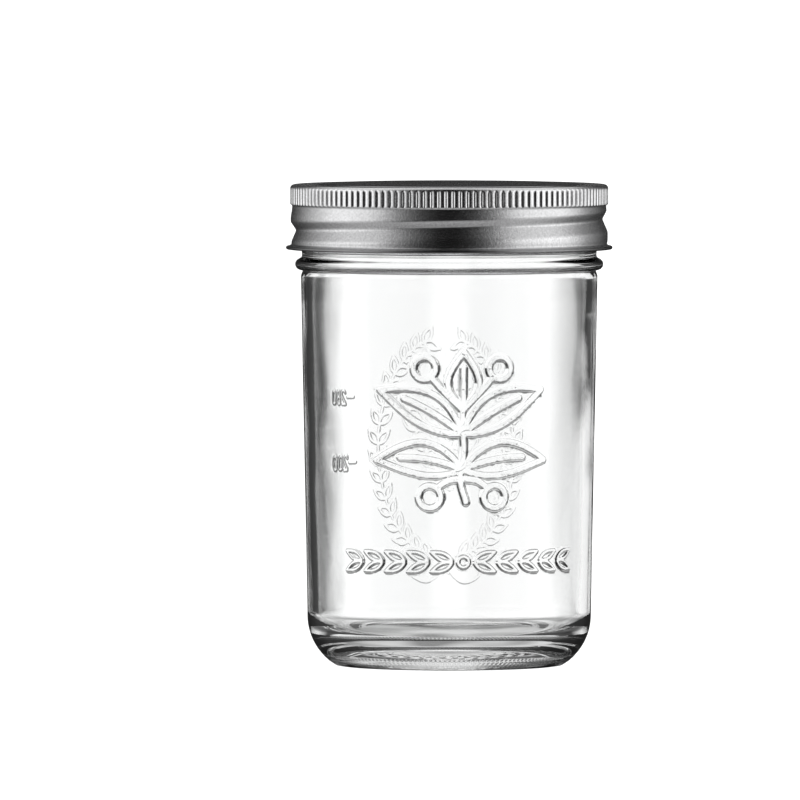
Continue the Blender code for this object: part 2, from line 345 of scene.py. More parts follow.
EMBLEM_AT = (FRONT + math.radians(5.0), 67.5 * MM)
GARLAND_AT = (FRONT + math.radians(5.5), 30.5 * MM)
WREATH_AT = (0.5 * math.pi + math.radians(1.5), 59.0 * MM)
SCALE_AT = math.radians(136.0)
RELIEF = {   # stroke half-width and height, mm
    "emblem": (0.95, 0.62),
    "garland": (0.50, 0.38),
    "wreath": (0.42, 0.13),
    "scale": (0.38, 0.17),
}
EDGE = 0.56              # mm over which a stroke's side rises
SEAM_ANGLES = (math.radians(-4.0), math.radians(176.0))
SEAM_HEIGHT = 0.05 * MM     # mould seams: two upright ones and the parting line under the bead
SEAM_HALF = 0.5 * MM
PARTING_HALF = 0.3 * MM
BARREL = 0.15               # share of the body's widening that follows a curve instead of a line


def wall_radius(z):
    """Outside of the body without its relief: slightly barrelled between waist and shoulder."""
    t = np.clip((z - HEEL_ARC_Z) / (SHOULDER_Z - HEEL_ARC_Z), 0.0, 1.0)
    return WAIST_R + (SHOULDER_R - WAIST_R) * ((1.0 - BARREL) * t + BARREL * smooth_step(t))


def jar_volume_height(millilitres):
    """Height of the liquid's surface for a volume, from the inside of the body."""
    step = 0.5 * MM
    z = FLOOR_Z + 0.8 * MM
    left = millilitres * 1e-6
    while left > 0.0:
        left -= math.pi * (wall_radius(z) - WALL) ** 2 * step
        z += step
    return z


def make_relief():
    """Each ornament's paths with its place on the glass; scale numerals read from outside."""
    marks = [(text, jar_volume_height(float(text)) / MM) for text in ("200", "280")]
    return [
        ("emblem", emblem_paths(), EMBLEM_AT),
        ("garland", garland_paths(), GARLAND_AT),
        ("wreath", wreath_paths(), WREATH_AT),
        ("scale", scale_paths(marks), (SCALE_AT, 0.0)),
    ]


RELIEFS = make_relief()


def relief_distances(angle, z):
    """For each ornament: its name, the points near it, and their distance to its strokes."""
    for name, paths, (centre_angle, centre_z) in RELIEFS:
        turned_by = (angle - centre_angle + math.pi) % TURN - math.pi
        u = turned_by * wall_radius(z) / MM
        v = (z - centre_z) / MM
        everything = np.vstack([np.array(path) for path in paths])
        low, high = everything.min(0) - 3.0, everything.max(0) + 3.0
        near = (u > low[0]) & (u < high[0]) & (v > low[1]) & (v < high[1])
        if near.any():
            yield name, near, distance_to(paths, u[near], v[near])


def relief_height(angle, z):
    """How far the ornament and the mould seams stand out of the body's wall."""
    height = np.zeros(angle.shape)
    for name, near, distance in relief_distances(angle, z):
        half, rise = RELIEF[name]
        share = smooth_step((half + 0.5 * EDGE - distance) / EDGE)
        height[near] = np.maximum(height[near], rise * MM * share)
    for seam in SEAM_ANGLES:
        off = ((angle - seam + math.pi) % TURN - math.pi) * wall_radius(z)
        height += SEAM_HEIGHT * np.exp(-(off / SEAM_HALF) ** 2)
    height += SEAM_HEIGHT * np.exp(-((z - PARTING_Z) / PARTING_HALF) ** 2)
    return height


WAVE_SEED = 11
WAVE_COUNT = 9
WAVE_HEIGHT = 0.022 * MM
WAVE_UPWARD = 260.0                      # most radians to a metre of height
WAVE_LOW = 10.0 * MM                     # the waves start here and fade in over WAVE_FADE
WAVE_HIGH = 118.0 * MM                   # they have faded out here
WAVE_FADE = 12.0 * MM


def glass_waves(angle, z):
    """Gentle unevenness of hot-formed glass: a few waves of random direction and phase."""
    random = np.random.default_rng(WAVE_SEED)
    total = np.zeros(angle.shape)
    for _ in range(WAVE_COUNT):
        around = random.integers(2, 14)
        upward = random.uniform(-1.0, 1.0) * WAVE_UPWARD
        total = total + np.sin(around * angle + upward * z + random.uniform(0.0, TURN))
    ends = smooth_step((z - WAVE_LOW) / WAVE_FADE) * smooth_step((WAVE_HIGH - z) / WAVE_FADE)
    return ends * WAVE_HEIGHT * total / math.sqrt(WAVE_COUNT)


def jar_rows():
    """Meridian of the jar from the middle of the underside, out, up, over the lip and down inside.

    Returns the outside's (r, z) rows and the inside's.
    """
    pole_r = 0.4 * MM
    heel_low = -math.degrees(math.asin(HEEL_ARC_Z / HEEL_ARC_R))
    heel_centre = (WAIST_R - HEEL_ARC_R, HEEL_ARC_Z)
    underside = [(pole_r, PUSH_UP_Z), (9.0 * MM, PUSH_UP_Z - 0.1 * MM), (18.0 * MM, PUSH_UP_Z - 0.5 * MM),
                 (23.0 * MM, PUSH_UP_Z - 1.1 * MM), (26.0 * MM, PUSH_UP_Z - 2.1 * MM),
                 (28.2 * MM, 0.35 * MM), (29.0 * MM, 0.05 * MM), (30.4 * MM, 0.0)]
    underside = [tuple(p) for p in smooth_curve(underside, 6)]
    underside = [(r, max(z, 0.0)) for r, z in underside]
    heel = arc_points(heel_centre, HEEL_ARC_R, heel_low + 1.2, 0.0, 44)
    body = [(wall_radius(z), z) for z in np.linspace(BODY_LOW, BODY_HIGH, 72)]
    bead = arc_points((BEAD_R - BEAD_HALF, BEAD_Z), BEAD_HALF, -80.0, 68.0, 16)
    # a shallow notch between the shoulder and the bead
    shoulder = [(SHOULDER_R - inward * MM, SHOULDER_Z + up * MM)
                for inward, up in ((0.10, -0.3), (0.28, 0.2), (0.45, 0.6), (0.42, 0.9))]
    bead_top = BEAD_Z + BEAD_HALF
    neck = [(NECK_R + 0.15 * MM, bead_top + 0.35 * MM), (NECK_R, bead_top + 1.0 * MM),
            (NECK_R + 0.1 * MM, bead_top + 2.2 * MM), (FINISH_R, bead_top + 3.2 * MM)]
    finish = along([neck[-1], (FINISH_R, jar_top - 1.6 * MM)], FINISH_SPACING)[1:]
    lip = arc_points((FINISH_R - LIP_OUTER, jar_top - LIP_OUTER), LIP_OUTER, 8.0, 90.0, 8)
    lip += arc_points((MOUTH_R + LIP_INNER, jar_top - LIP_INNER), LIP_INNER, 90.0, 176.0, 8)
    outside = underside + heel + body + shoulder + bead + neck + finish + lip
    inner_wall = WAIST_R - WALL
    inside = [(MOUTH_R, jar_top - 3.0 * MM), (MOUTH_R, BEAD_Z + 4.0 * MM), (MOUTH_R, BEAD_Z - 1.0 * MM),
              (wall_radius(SHOULDER_Z - 6.0 * MM) - WALL, SHOULDER_Z - 8.0 * MM)]
    inside = [tuple(p) for p in smooth_curve(inside, 7)]
    inside += [(wall_radius(z) - WALL, z) for z in np.linspace(98.0 * MM, 17.0 * MM, 40)]
    inside += arc_points((inner_wall - INNER_HEEL_R, FLOOR_Z + INNER_HEEL_R), INNER_HEEL_R, 0.0, -86.0, 16)
    # the floor is crowned by a millimetre in its middle
    floor = [(inner_wall - INNER_HEEL_R - 2.5 * MM, FLOOR_Z - 0.05 * MM), (20.0 * MM, FLOOR_Z + 0.35 * MM),
             (12.0 * MM, FLOOR_Z + 0.75 * MM), (5.0 * MM, FLOOR_Z + 0.95 * MM), (pole_r, FLOOR_Z + 1.0 * MM)]
    inside += [tuple(p) for p in smooth_curve(floor, 5)]
    return outside, inside


REFINE_REACH = (1.6, 0.8, 0.42)     # mm to each side of a stroke's side, one for each split


def refine_near_relief(bm):
    """Split edges near the strokes' sides, three times, so the relief is drawn finely."""
    for reach in REFINE_REACH:
        bm.verts.ensure_lookup_table()
        co = np.array([vert.co[:] for vert in bm.verts])
        angle, z = np.arctan2(co[:, 1], co[:, 0]), co[:, 2]
        outside = (np.hypot(co[:, 0], co[:, 1]) > wall_radius(z) - 0.6 * WALL)
        outside &= (z > BODY_LOW) & (z < BODY_HIGH)
        wanted = np.zeros(len(co), bool)
        for name, near, distance in relief_distances(angle, z):
            wanted[near] |= np.abs(distance - RELIEF[name][0]) < reach
        wanted &= outside
        chosen = [e for e in bm.edges if wanted[e.verts[0].index] and wanted[e.verts[1].index]]
        bmesh.ops.subdivide_edges(bm, edges=chosen, cuts=1, use_grid_fill=True)
        bm.verts.index_update()


STIPPLE_COUNT = 168                      # bearing ridges in one row around the heel
STIPPLE_ROWS = (1.5 * MM, 2.4 * MM)
STIPPLE_HEIGHT = 0.10 * MM
STIPPLE_HALF = 0.34 * MM
STIPPLE_TOP = 3.4 * MM
HEEL_OUTSIDE_R = 31.0 * MM               # the underside lies within this radius


def refine_stipple(bm):
    """Split the ring of the heel that carries the bearing ridges, twice around."""
    ring_step = 0.5 * TURN / JAR_COLUMNS     # half the angle between neighbours, before each split
    for _ in range(2):
        chosen = []
        for edge in bm.edges:
            a, b = edge.verts
            low = 0.05 * MM < a.co.z < STIPPLE_TOP and a.co.xy.length > HEEL_OUTSIDE_R
            if low and abs(a.co.z - b.co.z) < 1e-5:
                chosen.append(edge)
        # each new point goes out from its edge's middle to the circle
        for new in bmesh.ops.subdivide_edges(bm, edges=chosen, cuts=1)["geom_inner"]:
            if isinstance(new, bmesh.types.BMVert):
                new.co.xy /= math.cos(ring_step)
        ring_step *= 0.5


def stipple_height(angle, z):
    """Short bearing ridges around the heel, in two staggered rows."""
    ridge = 0.5 + 0.5 * np.cos(STIPPLE_COUNT * angle)
    other = 0.5 + 0.5 * np.cos(STIPPLE_COUNT * angle + math.pi)
    low_row, high_row = (np.exp(-(((z - row) / STIPPLE_HALF) ** 2)) for row in STIPPLE_ROWS)
    return STIPPLE_HEIGHT * (ridge * low_row + other * high_row)


def make_glass_mesh():
    """Turned jar, split finely near its relief, then pushed out or in to its final surface."""
    outside, inside = jar_rows()
    mesh = turned_mesh("glass_jar_fine", outside + inside, JAR_COLUMNS, False)
    first_inside = len(outside) * JAR_COLUMNS
    bm = bmesh.new()
    bm.from_mesh(mesh)
    # the last two points are the poles: the underside's, then the inner floor's
    layer = bm.verts.layers.int.new("inside")
    for vert in bm.verts:
        vert[layer] = int(vert.index >= first_inside and vert.index != len(bm.verts) - 2)
    refine_near_relief(bm)
    refine_stipple(bm)
    bm.to_mesh(mesh)
    bm.free()
    co = np.zeros(len(mesh.vertices) * 3)
    mesh.vertices.foreach_get("co", co)
    co = co.reshape(-1, 3)
    is_inside = np.zeros(len(co), np.int32)
    mesh.attributes["inside"].data.foreach_get("value", is_inside)
    mesh.attributes.remove(mesh.attributes["inside"])
    angle, z = np.arctan2(co[:, 1], co[:, 0]), co[:, 2]
    radius = np.hypot(co[:, 0], co[:, 1])
    new_radius = radius.copy()
    body = (is_inside == 0) & (z > BODY_LOW - 1e-6) & (z < BODY_HIGH + 1e-6) & (radius > 37.0 * MM)
    new_radius[body] = wall_radius(z[body]) + relief_height(angle[body], z[body])
    neck = (is_inside == 0) & (z > BEAD_Z + BEAD_HALF + 2.0 * MM) & (radius > FINISH_R - 0.35 * MM)
    new_radius[neck] += ridge_height(angle[neck] % TURN, z[neck])
    heel = (is_inside == 0) & (z < 4.5 * MM) & (radius > HEEL_OUTSIDE_R)
    new_radius[heel] += stipple_height(angle[heel], z[heel])
    bore = (is_inside == 1) & (radius > 30.0 * MM)
    new_radius[bore] += glass_waves(angle[bore], z[bore])
    scale = new_radius / np.maximum(radius, 1e-9)
    co[:, 0] *= scale
    co[:, 1] *= scale
    mesh.vertices.foreach_set("co", co.ravel())
    mesh.update()
    return mesh


# ---------------------------------------------------------------- screw band

RIB_COUNT = 140
RIB_DEPTH = 0.32 * MM
# shares of one rib from its crest's middle: where the mesh has columns, and where a flank lies
RIB_COLUMNS = (0.25, 0.28, 0.42, 0.45, 0.55, 0.58, 0.72, 0.75)
RIB_FLANK = (0.265, 0.435)
BAND_SHEET = 0.28 * MM
BAND_R = 44.3 * MM
OPENING_R = 37.8 * MM
SKIRT_R = 44.15 * MM
SKIRT_END_Z = 117.4 * MM
RIB_TOP_Z = 132.9 * MM
RIB_BOTTOM_Z = 128.5 * MM
STEP_IN = 0.42 * MM         # the skirt is this much narrower just below the ribs
LOWER_NARROWING = 0.25 * MM
CORNER_R = 1.15 * MM
CURL_R = 0.5 * MM


def make_band_mesh():
    """Pressed sheet: flange, ribbed corner, skirt with the helical groove, rolled edge."""
    top = band_high.z
    curl_centre = (band_high.x - CURL_R - 0.02 * MM, band_low.z + CURL_R + 0.01 * MM)
    flange = [(OPENING_R, top), (0.5 * (OPENING_R + BAND_R), top), (BAND_R - 1.4 * MM, top)]
    corner = arc_points((BAND_R - CORNER_R, top - CORNER_R), CORNER_R, 84.0, 12.0, 6)
    # rows of the ribs lie closer at their two ends
    rib_middle, rib_half = 0.5 * (RIB_TOP_Z + RIB_BOTTOM_Z), 0.5 * (RIB_TOP_Z - RIB_BOTTOM_Z)
    ribs = [(BAND_R, rib_middle + rib_half * math.cos(a)) for a in np.linspace(0.0, math.pi, 9)]
    skirt = [(SKIRT_R, z) for z in np.linspace(RIB_BOTTOM_Z - 0.3 * MM, SKIRT_END_Z, 30)]
    flare = [(curl_centre[0] - 0.5 * MM, curl_centre[1] + CURL_R + 0.1 * MM)]
    curl = arc_points(curl_centre, CURL_R, 100.0, -190.0, 12)
    outer = flange + corner + ribs + skirt + flare
    inner = []
    for r, z in reversed(flange[:2] + corner[::2] + ribs[::2] + skirt[::2]):
        inward = BAND_SHEET if z < top - 0.6 * MM else 0.0
        downward = BAND_SHEET if r < BAND_R - 0.5 * MM else 0.0
        inner.append((r - inward, z - downward))
    section = np.array(outer + curl + inner)
    angle = (np.arange(RIB_COUNT)[:, None] + np.array(RIB_COLUMNS)).ravel() * TURN / RIB_COUNT
    r = section[:, :1] + 0.0 * angle
    z = section[:, 1:] + 0.0 * angle
    on_wall = smooth_step((r - (BAND_R - 1.5 * MM)) / (0.9 * MM))
    # ribs: wide crests and narrow valleys, fading at both ends
    window = smooth_step((z - RIB_BOTTOM_Z + 0.25 * MM) / (0.55 * MM))
    window *= smooth_step((RIB_TOP_Z + 0.45 * MM - z) / (0.75 * MM))
    from_crest = np.abs((angle * RIB_COUNT / TURN + 0.5) % 1.0 - 0.5)
    wave = np.clip((from_crest - RIB_FLANK[0]) / (RIB_FLANK[1] - RIB_FLANK[0]), 0.0, 1.0)
    r = r - on_wall * window * RIB_DEPTH * wave
    # below the ribs the sheet steps in and widens again towards the groove
    below = smooth_step((RIB_BOTTOM_Z + 0.1 * MM - z) / (0.5 * MM))
    below *= smooth_step((z - SKIRT_END_Z + 0.5 * MM) / (0.6 * MM))
    step_in = STEP_IN * smooth_step((z - 124.4 * MM) / (3.6 * MM))
    narrow = LOWER_NARROWING * smooth_step((SKIRT_END_Z + 1.4 * MM - z) / (2.0 * MM))
    r = r - below * (step_in + narrow + groove_depth(angle, z))
    points = np.stack([r * np.cos(angle), r * np.sin(angle), z], axis=-1)
    return grid_mesh("screw_band_fine", points, True)


# ---------------------------------------------------------------- lid and gasket

LID_SHEET = 0.26 * MM
GASKET_INNER_R = 38.5 * MM
LID_RIM_RISE = 0.8 * MM     # the channel's top, above the lid's lower edge


def make_lid_mesh():
    """Stamped sheet: sunk centre button, flat panel, step down, gasket channel, turned-down edge."""
    top = lid_high.z
    rim = lid_low.z + LID_RIM_RISE
    edge = lid_high.x
    upper = [(0.3 * MM, top - 0.22 * MM), (7.0 * MM, top - 0.22 * MM), (11.5 * MM, top - 0.18 * MM),
             (13.2 * MM, top - 0.06 * MM), (14.4 * MM, top - 0.02 * MM), (16.0 * MM, top),
             (24.0 * MM, top), (33.0 * MM, top - 0.01 * MM), (35.2 * MM, top - 0.03 * MM),
             (36.2 * MM, top - 0.18 * MM), (36.65 * MM, top - 0.5 * MM), (36.95 * MM, rim + 0.25 * MM),
             (37.4 * MM, rim + 0.02 * MM), (38.6 * MM, rim), (40.2 * MM, rim + 0.04 * MM),
             (41.6 * MM, rim), (42.3 * MM, rim - 0.03 * MM), (edge - 0.12 * MM, rim - 0.25 * MM),
             (edge - 0.01 * MM, rim - 0.5 * MM), (edge - 0.02 * MM, lid_low.z + 0.02 * MM)]
    upper = smooth_curve(upper, 4)
    step = np.gradient(upper, axis=0)
    normal = np.stack([step[:, 1], -step[:, 0]], axis=1)
    normal /= np.linalg.norm(normal, axis=1)[:, None]
    upper[:, 1] = np.minimum(upper[:, 1], top)
    lower = (upper + LID_SHEET * normal)[::-1]
    lower[:, 0] = np.maximum(lower[:, 0], 0.3 * MM)
    lower[:, 1] = np.maximum(lower[:, 1], lid_low.z)
    return turned_mesh("lid_disc_fine", np.vstack([upper, lower]), 256, False)


def make_gasket_mesh():
    """Ring of compound whose underside has a shallow groove where the glass presses."""
    low, high = gasket_low.z, gasket_high.z
    inner, outer = GASKET_INNER_R, gasket_high.x
    middle = 0.5 * (inner + outer)
    upper = [(inner + 0.25 * MM, high), (outer - 0.2 * MM, high)]
    under = [(outer, high - 0.3 * MM), (outer - 0.05 * MM, low + 0.3 * MM),
             (outer - 0.4 * MM, low + 0.02 * MM), (middle + 0.5 * MM, low + 0.12 * MM),
             (middle - 0.5 * MM, low + 0.12 * MM), (inner + 0.4 * MM, low + 0.02 * MM),
             (inner + 0.03 * MM, low + 0.3 * MM), (inner, high - 0.3 * MM)]
    section = np.vstack([upper, smooth_curve(under, 5)])
    return turned_mesh("sealing_gasket_fine", section, 192, True)


# ---------------------------------------------------------------- materials


class Nodes:
    """Short calls that add and link shader nodes."""

    def __init__(self, tree):
        self.tree = tree

    def add(self, kind, inputs=(), **settings):
        node = self.tree.nodes.new(kind)
        for key, value in settings.items():
            setattr(node, key, value)
        for key, value in dict(inputs).items():
            if isinstance(value, bpy.types.NodeSocket):
                self.tree.links.new(value, node.inputs[key])
            else:
                node.inputs[key].default_value = value
        return node

    def math(self, operation, a, b=0.0):
        return self.add("ShaderNodeMath", {0: a, 1: b}, operation=operation).outputs[0]

    def ramp(self, factor, stops):
        node = self.add("ShaderNodeValToRGB", {0: factor})
        elements = node.color_ramp.elements
        elements[0].position = stops[0][0]
        elements[1].position = stops[-1][0]
        for position, _ in stops[1:-1]:
            elements.new(position)
        for element, (_, value) in zip(elements, stops):
            element.color = (value, value, value, 1.0) if isinstance(value, (int, float)) else (*value, 1.0)
        return node.outputs[0]

    def multiply_colours(self, a, b):
        mix = {0: 1.0, 6: a, 7: b}
        return self.add("ShaderNodeMix", mix, data_type="RGBA", blend_type="MULTIPLY").outputs[2]

    def map_range(self, value, low, high, to_low=0.0, to_high=1.0):
        inputs = {"Value": value, "From Min": low, "From Max": high, "To Min": to_low, "To Max": to_high}
        return self.add("ShaderNodeMapRange", inputs).outputs["Result"]

    def noise(self, scale, detail=3.0, stretch=(1.0, 1.0, 1.0), roughness=0.5):
        place = self.add("ShaderNodeTexCoord").outputs["Object"]
        mapping = self.add("ShaderNodeMapping", {0: place, 3: stretch})
        return self.add("ShaderNodeTexNoise", {
            "Vector": mapping.outputs[0], "Scale": scale, "Detail": detail, "Roughness": roughness,
        }).outputs["Fac"]

    def bump(self, height, strength, distance, normal=None):
        inputs = {"Height": height, "Strength": strength, "Distance": distance}
        if normal is not None:
            inputs["Normal"] = normal
        return self.add("ShaderNodeBump", inputs).outputs[0]


def new_material(name):
    material = bpy.data.materials.new(name)
    material.use_nodes = True
    return material, Nodes(material.node_tree), material.node_tree.nodes["Principled BSDF"]


def glass_material():
    material, n, shader = new_material("clear_glass")
    link = material.node_tree.links.new
    shader.inputs["Transmission Weight"].default_value = 1.0
    shader.inputs["IOR"].default_value = 1.52
    tint = n.ramp(n.noise(30.0), [(0.3, (0.985, 0.992, 0.990)), (0.7, (0.995, 0.997, 0.996))])
    link(tint, shader.inputs["Base Color"])
    haze = n.ramp(n.noise(60.0, 5.0), [(0.45, 0.0), (0.8, 0.012)])
    link(haze, shader.inputs["Roughness"])
    orange_peel = n.bump(n.noise(420.0, 2.0), 0.015, 0.2 * MM)
    ripple = n.bump(n.noise(95.0, 1.0, (1.0, 1.0, 0.35)), 0.07, 0.6 * MM, orange_peel)
    link(ripple, shader.inputs["Normal"])
    return material


def tinplate_material(name, dark, light, rough_low, rough_high, brushing, shade_and_tone=None):
    """Satin tinplate: fine grain, faint streaks around the axis and slight staining.

    The optional last argument adds the nodes of a factor (1 in the open, less in a recess) that darkens the
    tone; for the band it paints shade into the rib valleys and the rolled edge and makes the skirt darker.
    """
    material, n, shader = new_material(name)
    link = material.node_tree.links.new
    shader.inputs["Metallic"].default_value = 1.0
    stain = n.noise(45.0, 6.0, roughness=0.65)
    tone = n.ramp(stain, [(0.3, dark), (0.72, light)])
    grain = n.noise(1700.0, 4.0, roughness=0.7)
    speck = n.ramp(grain, [(0.35, 0.78), (0.65, 1.0)])
    tone = n.multiply_colours(tone, speck)
    if shade_and_tone is not None:
        tone = n.multiply_colours(tone, shade_and_tone(n))
    link(tone, shader.inputs["Base Color"])
    streaks = n.noise(12.0, 4.0, brushing, 0.7)
    both = n.math("ADD", n.math("MULTIPLY", streaks, 0.6), n.math("MULTIPLY", grain, 0.4))
    link(n.ramp(both, [(0.3, rough_low), (0.7, rough_high)]), shader.inputs["Roughness"])
    fine = n.bump(grain, 0.8, 0.05 * MM)
    link(n.bump(streaks, 0.25, 0.03 * MM, fine), shader.inputs["Normal"])
    return material


SKIRT_TONE = 0.80           # the skirt's tone, as a share of the ribs' tone
# painted shade: how far the tone is darkened in the valleys between the ribs and on the rolled edge
VALLEY_SHADE = 0.9
LIP_SHADE = 0.6
SHADE_EDGE = 0.5 * MM       # over which the painted shade and the skirt's darker tone fade in or out up the band


def band_shade_and_tone(n):
    """Factor of painted shade in the valleys between the ribs and on the rolled edge, and of the skirt's
    darker tone.
    """
    place = n.add("ShaderNodeTexCoord").outputs["Object"]
    x, y, z = n.add("ShaderNodeSeparateXYZ", {0: place}).outputs
    # painted shade: a mask of the valleys between the ribs, where the tone is darkened in place of the shade
    # in them
    turned = n.math("MULTIPLY", n.math("ARCTAN2", y, x), RIB_COUNT / TURN)
    valley_stops = [(0.0, 0.0), (0.40, 0.0), (0.43, 1.0), (0.57, 1.0), (0.60, 0.0), (1.0, 0.0)]
    valley = n.ramp(n.math("FRACT", turned), valley_stops)
    low = RIB_BOTTOM_Z - 0.1 * MM
    high = RIB_TOP_Z + 0.1 * MM
    above_low = n.map_range(z, low, low + SHADE_EDGE)
    below_high = n.map_range(z, high - SHADE_EDGE, high, 1.0, 0.0)
    valley = n.math("MULTIPLY", n.math("MULTIPLY", valley, above_low), below_high)
    # painted shade on the rolled edge at the bottom of the band
    lip_top = band_low.z + 0.8 * MM
    lip = n.map_range(z, lip_top, lip_top + SHADE_EDGE, 1.0, 0.0)
    shade = n.math("MAXIMUM", n.math("MULTIPLY", valley, VALLEY_SHADE), n.math("MULTIPLY", lip, LIP_SHADE))
    # the skirt below the ribs is darker than the ribs, at SKIRT_TONE of their tone
    skirt_factor = n.ramp(above_low, [(0.0, SKIRT_TONE), (1.0, 1.0)])
    return n.math("MULTIPLY", n.math("SUBTRACT", 1.0, shade), skirt_factor)


def compound_material():
    material, n, shader = new_material("sealing_compound")
    link = material.node_tree.links.new
    tone = n.ramp(n.noise(300.0, 5.0), [(0.3, (0.34, 0.32, 0.30)), (0.7, (0.46, 0.44, 0.42))])
    link(tone, shader.inputs["Base Color"])
    link(n.ramp(n.noise(900.0), [(0.3, 0.45), (0.7, 0.65)]), shader.inputs["Roughness"])
    link(n.bump(n.noise(1500.0, 4.0), 0.3, 0.05 * MM), shader.inputs["Normal"])
    return material


# ---------------------------------------------------------------- studio

FLOOR_R = 60.0
FLOOR_Z_OFFSET = -0.02 * MM         # the floor and the two glows lie just under the jar, in this order
TABLE_Z_OFFSET = -0.015 * MM
SHADE_Z_OFFSET = -0.01 * MM
WORLD_LIGHT = 1.5
GLASS_LIGHT = 1.12
METAL_LIGHT = 1.45
SHADE_R = 80.0 * MM         # painted shadow: a dim patch of floor around the base, which only the glass sees
SHADE_FULL_R = 45.0 * MM
SHADE_LIGHT = 0.42
SHADE_PATCHY = (0.65, 1.8)
PATCHES = 42.0              # patches of the uneven glow to a metre, about
TABLE_R = 2.2               # bright table behind on the right, which lights the jar's lower right edge
TABLE_FULL_R = 1.0
TABLE_SECTOR = (9.0, 60.0)


def floor_material():
    material, n, shader = new_material("studio_floor")
    link = material.node_tree.links.new
    tone = n.ramp(n.noise(3.0), [(0.3, (0.90, 0.90, 0.90)), (0.7, (0.91, 0.91, 0.91))])
    link(tone, shader.inputs["Base Color"])
    shader.inputs["Roughness"].default_value = 0.9
    shader.inputs["Specular IOR Level"].default_value = 0.0
    return material


def make_disc(name, radius, material):
    angle = np.arange(96) * TURN / 96
    rows = [np.stack([r * np.cos(angle), r * np.sin(angle), 0.0 * angle], axis=-1)
            for r in (0.1 * radius, radius)]
    mesh = grid_mesh(name, np.stack(rows), False, (True, False))
    mesh.materials.append(material)
    obj = bpy.data.objects.new(name, mesh)
    bpy.context.scene.collection.objects.link(obj)
    return obj


def make_floor():
    """A wide pale floor. Glass and metal don't see it: they see the studio's lower half instead."""
    obj = make_disc("studio_floor", FLOOR_R, floor_material())
    obj.location.z = FLOOR_Z_OFFSET
    obj.visible_transmission = False
    obj.visible_glossy = False


def make_glow_disc(name, outer_r, inner_r, strength, sector=None, patchy=None):
    """Flat glow on the floor that only the glass sees: full inside inner_r, gone at outer_r.

    A sector (from, to) in degrees from the rear towards +X keeps it to that part of the floor.
    patchy (low, high) makes it uneven, between those two shares of its strength.
    """
    material, n, shader = new_material(name)
    place = n.add("ShaderNodeTexCoord").outputs["Object"]
    radius = n.add("ShaderNodeVectorMath", {0: place}, operation="LENGTH").outputs["Value"]
    share = n.add("ShaderNodeMapRange", {
        "Value": radius, "From Min": inner_r, "From Max": outer_r, "To Min": 1.0, "To Max": 0.0,
    }, interpolation_type="SMOOTHSTEP").outputs["Result"]
    if sector is not None:
        x, y, _ = n.add("ShaderNodeSeparateXYZ", {0: place}).outputs
        turn_share = n.math("ADD", n.math("MULTIPLY", n.math("ARCTAN2", x, y), 1.0 / TURN), 0.5)
        low, high = sector
        window = degrees_ramp(n, turn_share, [(low - 3, 0.0), (low + 3, 1.0), (high - 6, 1.0), (high, 0.0)])
        share = n.math("MULTIPLY", share, window)
    if patchy is not None:
        low, high = patchy
        strength = n.ramp(n.noise(PATCHES, 1.0), [(0.38, low * strength), (0.62, high * strength)])
    glow = n.add("ShaderNodeEmission", {"Strength": strength})
    clear = n.add("ShaderNodeBsdfTransparent")
    mixed = n.add("ShaderNodeMixShader", {0: share, 1: clear.outputs[0], 2: glow.outputs[0]})
    output = material.node_tree.nodes["Material Output"]
    material.node_tree.links.new(mixed.outputs[0], output.inputs["Surface"])
    material.node_tree.nodes.remove(shader)
    obj = make_disc(name, outer_r, material)
    obj.visible_camera = False
    obj.visible_diffuse = False
    obj.visible_glossy = False
    obj.visible_shadow = False
    return obj


def degrees_ramp(n, factor, stops):
    """Ramp over -180 to 180 degrees."""
    return n.ramp(factor, [((deg + 180.0) / 360.0, value) for deg, value in stops])


def elevation_ramp(n, factor, stops):
    """Ramp over -90 degrees, straight down, to 90."""
    return n.ramp(factor, [(0.5 + deg / 180.0, value) for deg, value in stops])


